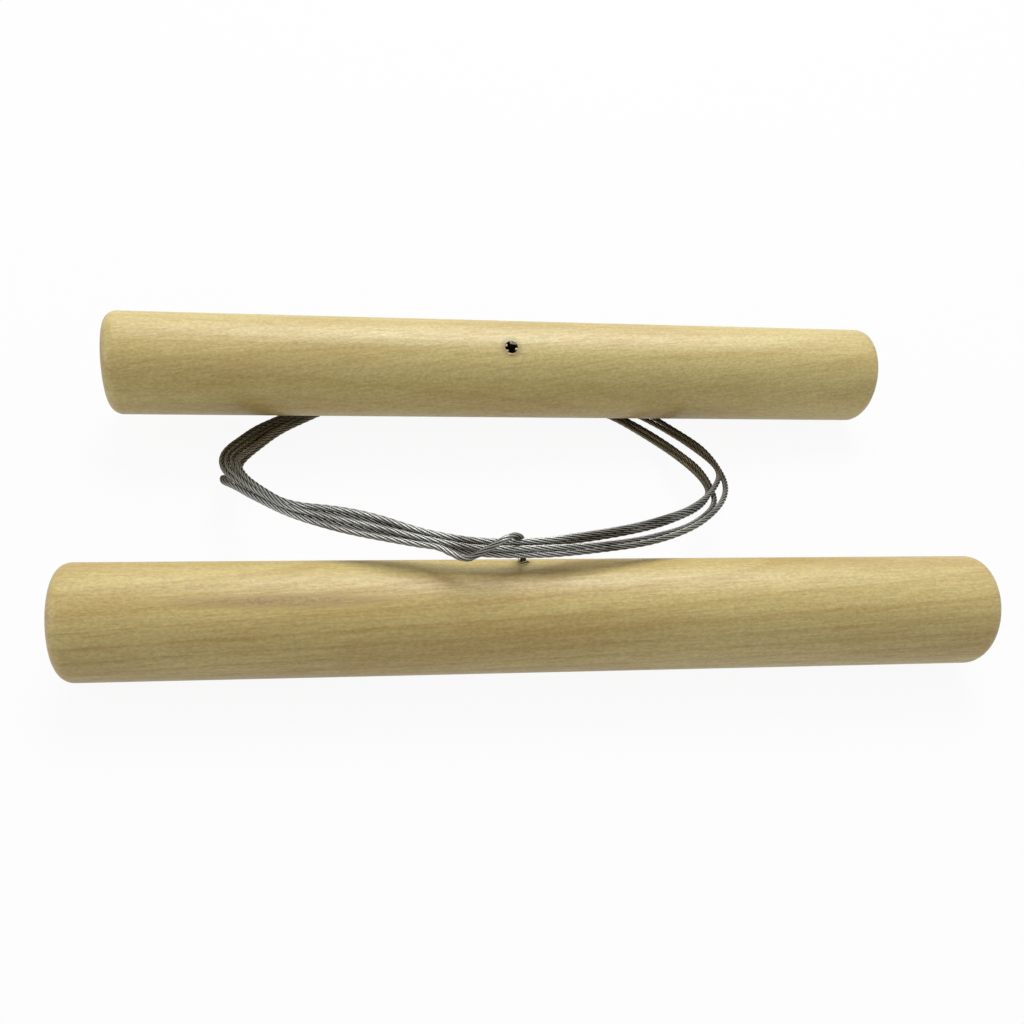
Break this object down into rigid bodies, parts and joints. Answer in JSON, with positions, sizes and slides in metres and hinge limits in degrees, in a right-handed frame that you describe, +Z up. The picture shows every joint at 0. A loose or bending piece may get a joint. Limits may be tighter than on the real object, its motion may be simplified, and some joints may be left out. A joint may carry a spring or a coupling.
{
  "type": "clay cutter",
  "caption": "Clay cutting wire: a coiled length of twisted steel wire held at each end in the cross hole of a plain wooden dowel handle, laid down with its coil tied.",
  "frame": {"origin": "on the surface that the tool lies on, at the bottom centre of the two handles' box, between the handles", "axes": "+X along the front handle to its right end, +Y from the front handle to the back one, +Z up"},
  "size_m": [0.0984, 0.0535, 0.0169],
  "materials": {
    "front_handle_wood": "bare, fine sanded",
    "back_handle_wood": "bare, fine sanded",
    "steel_wire": "twisted strands, dull bright",
    "stop_metal": "crimped, dull"
  },
  "bodies": {
    "wire": {"wire_coil": "steel_wire", "front_lead": "steel_wire", "back_lead": "steel_wire", "front_anchor_wire": "steel_wire", "back_anchor_wire": "steel_wire", "front_stop": "stop_metal", "back_stop": "stop_metal"},
    "front_grip": {"front_handle": "front_handle_wood"},
    "back_grip": {"back_handle": "back_handle_wood"}
  },
  "joints": [
    {"name": "front_handle_swivel", "type": "hinge", "parent": "wire", "child": "front_grip", "pos_m": [-0.0027, -0.0205, 0.006], "axis": [0, 0.5, 0.866], "continuous": true},
    {"name": "back_handle_swivel", "type": "hinge", "parent": "wire", "child": "back_grip", "pos_m": [-0.0007, 0.01846, 0.00763], "axis": [-0.0425, 0.4307, -0.9015], "range_deg": [-2.5, 0.5]}
  ]
}
